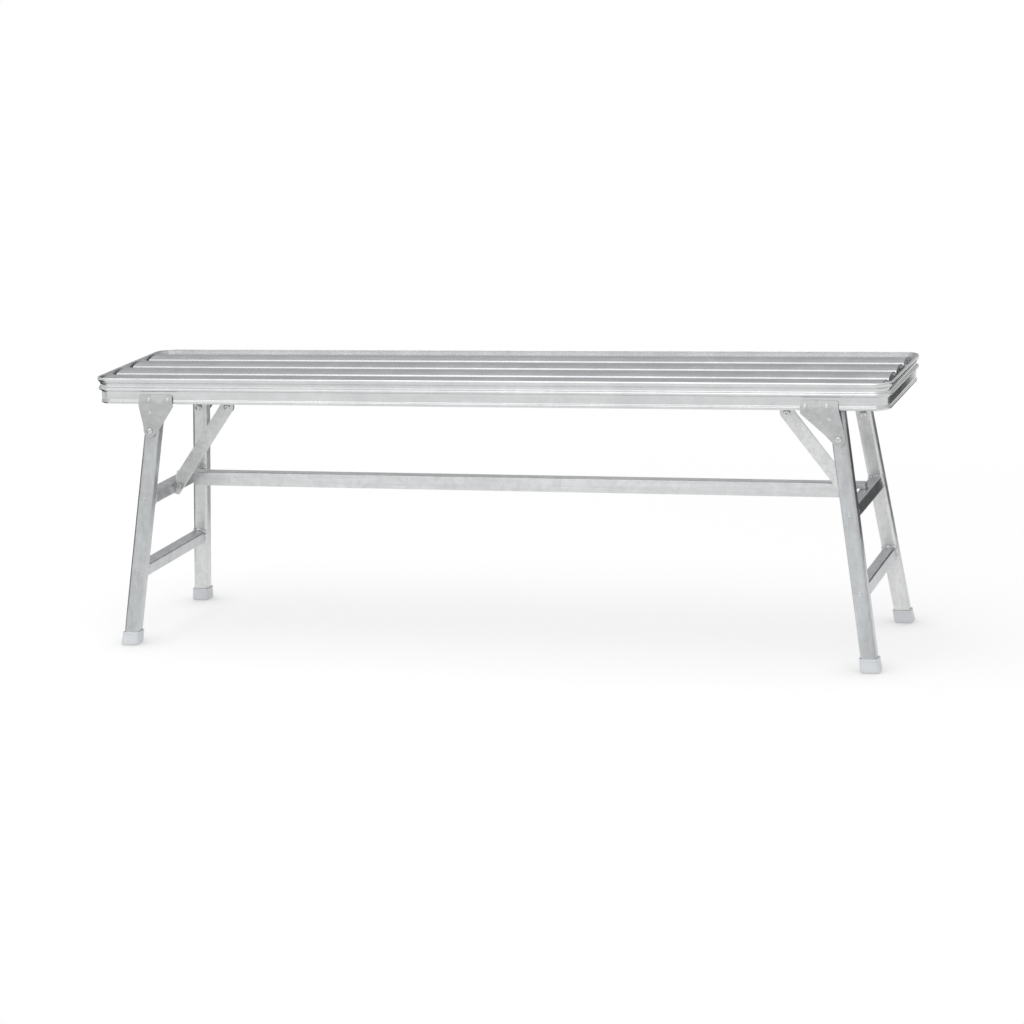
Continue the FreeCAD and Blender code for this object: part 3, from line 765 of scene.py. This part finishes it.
def make_keepers():
    """The thin ears on the upper crossbars, with the stud's head in front of each stay's foot."""
    face_x = -BAR_WIDTH / 2
    low_z = -BAR_DISTANCES[0] + KEEPER_LOW
    high_z = -BAR_DISTANCES[0] + KEEPER_HIGH
    radius = KEEPER_CORNER_RADIUS
    far_x = face_x - KEEPER_LENGTH + radius
    outline = [(face_x, high_z), (face_x, low_z)]
    outline += arc((far_x, low_z + radius), radius, 270, 180, CORNER_STEPS)
    outline += arc((far_x, high_z - radius), radius, 180, 90, CORNER_STEPS)
    for side, sx in SIDES:
        mesh = bmesh.new()
        rings = [[mesh.verts.new(leaned((x, -y, z), sx)) for x, z in outline] for y in (KEEPER_BACK, KEEPER_FRONT)]
        bridge(mesh, rings, closed=False)
        for ring in rings:
            mesh.faces.new(ring)
        stud = leaned((face_x - KEEPER_STUD_INSET, -KEEPER_FRONT, (low_z + high_z) / 2), sx)
        lathe(mesh, stud, (0, -1, 0), [(0, 0)] + dome(0, 0.0050, 0.0022, dimple=0.0008), 24)
        name = side + "_keeper"
        new_piece(name + "_ear", "plate_steel", side + "_frame", mesh, (name,))


def weld_outline(distance):
    """Evenly spaced places round a crossbar's section, as (x, drop) pairs."""
    section = rounded_rectangle(BAR_WIDTH / 2 - BAR_CORNER_RADIUS, BAR_HEIGHT / 2 - BAR_CORNER_RADIUS,
                                BAR_CORNER_RADIUS, 3)
    places = [(x, distance - z) for x, z in section]
    loop = places + places[:1]
    lengths = [math.dist(first, second) for first, second in zip(loop, loop[1:])]
    total = sum(lengths)
    result = []
    for index in range(WELD_POINTS):
        left = total * index / WELD_POINTS
        part = 0
        while left > lengths[part]:
            left -= lengths[part]
            part += 1
        share = left / lengths[part]
        result.append(tuple(u + (v - u) * share for u, v in zip(loop[part], loop[part + 1])))
    return result


def make_welds():
    """Rippled weld beads where the crossbars meet the legs."""
    for end, sx in SIDES:
        mesh = bmesh.new()
        for distance in BAR_DISTANCES:
            outline = weld_outline(distance)
            for row, sy in ROWS:
                rings = []
                for index, (x, drop) in enumerate(outline):
                    ripple = 1 + 0.16 * math.sin(index * math.pi / 2) + 0.2 * math.sin(index * 0.9 + distance * 40)
                    over_rear = drop < distance and row == "rear"
                    radius = (WELD_RADIUS + WELD_EXTRA * over_rear) * ripple
                    out = Vector((x, 0, distance - drop)).normalized()
                    ring = []
                    for step in range(WELD_SIDES):
                        turn = 2 * math.pi * step / WELD_SIDES
                        place = Vector((x, leg_face(drop, -1) * sy, -drop)) + out * radius * math.cos(turn)
                        place.y -= sy * radius * math.sin(turn)
                        ring.append(mesh.verts.new(leaned(place, sx)))
                    rings.append(ring)
                bridge(mesh, rings, closed=True)
        new_piece(end + "_weld_beads", "rivet_steel", end + "_frame", mesh)


def make_plug_welds():
    """Small upset marks on the legs' outer faces, opposite the crossbars."""
    flare = math.radians(LEG_FLARE)
    for end, sx in SIDES:
        mesh = bmesh.new()
        for distance in BAR_DISTANCES:
            for row, sy in ROWS:
                y = leg_face(distance, 1) * sy
                centre = leaned((0, y, -distance), sx)
                beside = leaned((0, y + sy * math.cos(flare), -distance + math.sin(flare)), sx)
                lathe(mesh, centre, beside - centre, PLUG_PROFILE, 24)
        new_piece(end + "_plug_welds", "tube_steel", end + "_frame", mesh)


make_band()
make_slats()
make_leg_rivets()
make_stay_rivets()
make_gussets()
make_fixings()
make_caps()
make_keepers()
make_welds()
make_plug_welds()


# Studio

def flat_sheet(name, corners, material):
    """A four-sided sheet for the studio."""
    mesh = bmesh.new()
    mesh.faces.new([mesh.verts.new(place) for place in corners])
    data = bpy.data.meshes.new(name)
    mesh.to_mesh(data)
    mesh.free()
    data.materials.append(material)
    sheet = bpy.data.objects.new(name, data)
    bpy.context.scene.collection.objects.link(sheet)
    return sheet


def make_floor():
    """A pale floor: white to the camera, with the object's own soft shadow and a painted contact shade where
    ambient occlusion finds the object close.
    """
    n = new_nodes("floor")
    # Painted shade: ambient occlusion darkens the floor's added light where the object stands close
    painted_contact_shade = n.add("ShaderNodeAmbientOcclusion", samples=PAINTED_CONTACT_SHADE_SAMPLES)
    painted_contact_shade.inputs["Distance"].default_value = PAINTED_CONTACT_SHADE_REACH
    lift_with_painted_shade = n.light(n.fit(painted_contact_shade.outputs["AO"], *SHADED_LIFT, *PAINTED_CONTACT_SHADE_RANGE))
    near = n.add("ShaderNodeAddShader")
    n.link(n.matt(SHADED_GREY), near.inputs[0])
    n.link(lift_with_painted_shade, near.inputs[1])
    reach = n.add("ShaderNodeVectorMath", operation="LENGTH")
    n.link(n.coordinates(FADE_STRETCH), reach.inputs[0])
    fade = n.blend(n.fit(reach.outputs["Value"], 0.0, 1.0, *FADE_RANGE), near.outputs[0], n.light(1.0))
    path = n.add("ShaderNodeLightPath")
    share = n.math("MULTIPLY", path.outputs["Is Glossy Ray"], MIRRORED_SHARE)
    mirrored_floor = n.blend(share, n.matt(FLOOR_GREY), n.light(MIRRORED_STRENGTH))
    n.link(n.blend(n.camera_share(path), mirrored_floor, fade), n.output.inputs["Surface"])
    corners = [(FLOOR_REACH * x, FLOOR_REACH * y, 0) for x, y in ((-1, -1), (1, -1), (1, 1), (-1, 1))]
    floor = flat_sheet("floor", corners, n.owner)
    floor.location.z = -FLOOR_DROP


def make_world():
    """White to the camera, and a softly graded white room to reflections and to diffuse light."""
    n = Nodes(bpy.data.worlds.new("studio"), "ShaderNodeOutputWorld")
    path = n.add("ShaderNodeLightPath")
    sky = n.add("ShaderNodeTexCoord")
    split = n.add("ShaderNodeSeparateXYZ")
    n.link(sky.outputs["Generated"], split.inputs[0])

    def white(strength):
        return n.light(strength, "ShaderNodeBackground")

    def ramp(axis, start, end):
        return n.fit(split.outputs[axis], 0.0, 1.0, start, end, "SMOOTHSTEP")

    horizon = n.blend(ramp("Y", *ROOM_DEPTH_RANGE), white(ROOM_FRONT), white(ROOM_BACK))
    room = n.blend(ramp("Z", *ROOM_HEIGHT_RANGE), horizon, white(ROOM_TOP))
    lighting = n.blend(path.outputs["Is Glossy Ray"], white(ROOM_DIFFUSE), room)
    n.link(n.blend(n.camera_share(path), lighting, white(1.0)), n.output.inputs["Surface"])
    bpy.context.scene.world = n.owner


def make_lamp(name, place, target, size, radiance):
    """A soft box of a given brightness, aimed at a place."""
    data = bpy.data.lights.new(name, "AREA")
    data.shape = "RECTANGLE"
    data.size, data.size_y = size
    data.energy = radiance * math.pi * size[0] * size[1]
    lamp = bpy.data.objects.new(name, data)
    lamp.location = place
    lamp.rotation_euler = (Vector(target) - Vector(place)).to_track_quat("-Z", "Y").to_euler()
    bpy.context.scene.collection.objects.link(lamp)


def make_flag(name, ends, heights, grey):
    """A dark panel that only reflections see, as studios use to give metal its edges."""
    first, second = ends
    low, high = heights
    n = new_nodes(name)
    n.link(n.matt(grey), n.output.inputs["Surface"])
    panel = flat_sheet(name, ((*first, low), (*second, low), (*second, high), (*first, high)), n.owner)
    panel.visible_camera = False
    panel.visible_diffuse = False
    panel.visible_shadow = False
    panel.visible_transmission = False


def make_camera():
    """The photograph's camera, from its place and angles."""
    yaw, pitch, roll = (math.radians(v) for v in (CAMERA_YAW, CAMERA_PITCH, CAMERA_ROLL))
    forward = Vector((-math.sin(yaw) * math.cos(pitch), math.cos(yaw) * math.cos(pitch), -math.sin(pitch)))
    right = Vector((math.cos(yaw), math.sin(yaw), 0))
    up = right.cross(forward)
    turned_right = right * math.cos(roll) + up * math.sin(roll)
    turned_up = up * math.cos(roll) - right * math.sin(roll)
    data = bpy.data.cameras.new("camera")
    data.sensor_width = SENSOR
    data.lens = CAMERA_FOCUS / IMAGE_SIDE * SENSOR
    camera = bpy.data.objects.new("camera", data)
    matrix = Matrix.Identity(4)
    for column, axis in enumerate((turned_right, turned_up, -forward)):
        for row in range(3):
            matrix[row][column] = axis[row]
    matrix.translation = Vector(CAMERA_PLACE)
    camera.matrix_world = matrix
    bpy.context.scene.collection.objects.link(camera)
    bpy.context.scene.camera = camera


make_floor()
make_world()
for lamp in LAMPS:
    make_lamp(*lamp)
for flag in FLAGS:
    make_flag(*flag)
make_camera()
bpy.context.scene.view_settings.view_transform = "Standard"
